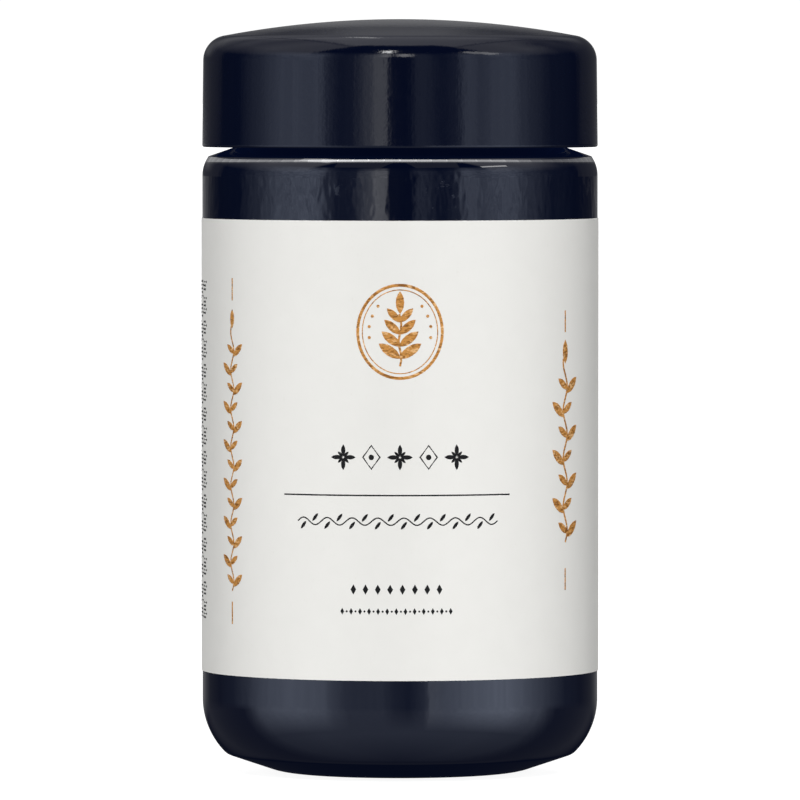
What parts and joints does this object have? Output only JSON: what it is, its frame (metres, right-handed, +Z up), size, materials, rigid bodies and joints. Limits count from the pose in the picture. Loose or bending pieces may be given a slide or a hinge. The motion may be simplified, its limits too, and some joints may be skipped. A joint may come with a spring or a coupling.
{
  "type": "screw-lid jar",
  "caption": "Wide-neck jar of dark violet glass with a domed screw lid, a sealing disc inside it and a wrap-round paper label, for powders and other dry goods.",
  "frame": {"origin": "on the jar's axis, at the height of the surface that it stands on", "axes": "+Z up along the jar's axis; the middle of the label faces -Y"},
  "size_m": [0.0776, 0.0776, 0.1464],
  "materials": {
    "violet_glass": "polished, so dark that it looks black",
    "lid_plastic": "satin, with a fine grain",
    "disc_foam": "matt foam",
    "label_paper": "uncoated, off-white",
    "label_foil": "mottled copper foil",
    "label_ink": "matt black print"
  },
  "bodies": {
    "jar": {"glass_jar": "violet_glass", "label": "label_paper"},
    "disc": {"sealing_disc": "disc_foam"},
    "lid": {"lid": "lid_plastic"}
  },
  "joints": [
    {"name": "lid_rise", "type": "slide", "parent": "jar", "child": "disc", "axis": [0, 0, 1], "range_m": [0, 0.0053]},
    {"name": "lid_turn", "type": "hinge", "parent": "disc", "child": "lid", "pos_m": [0, 0, 0.1321], "axis": [0, 0, 1], "range_deg": [0, 450]}
  ],
  "couplings": [
    {"joint": "lid_rise", "follows": "lid_turn", "m_per_rad": 0.00066845}
  ]
}
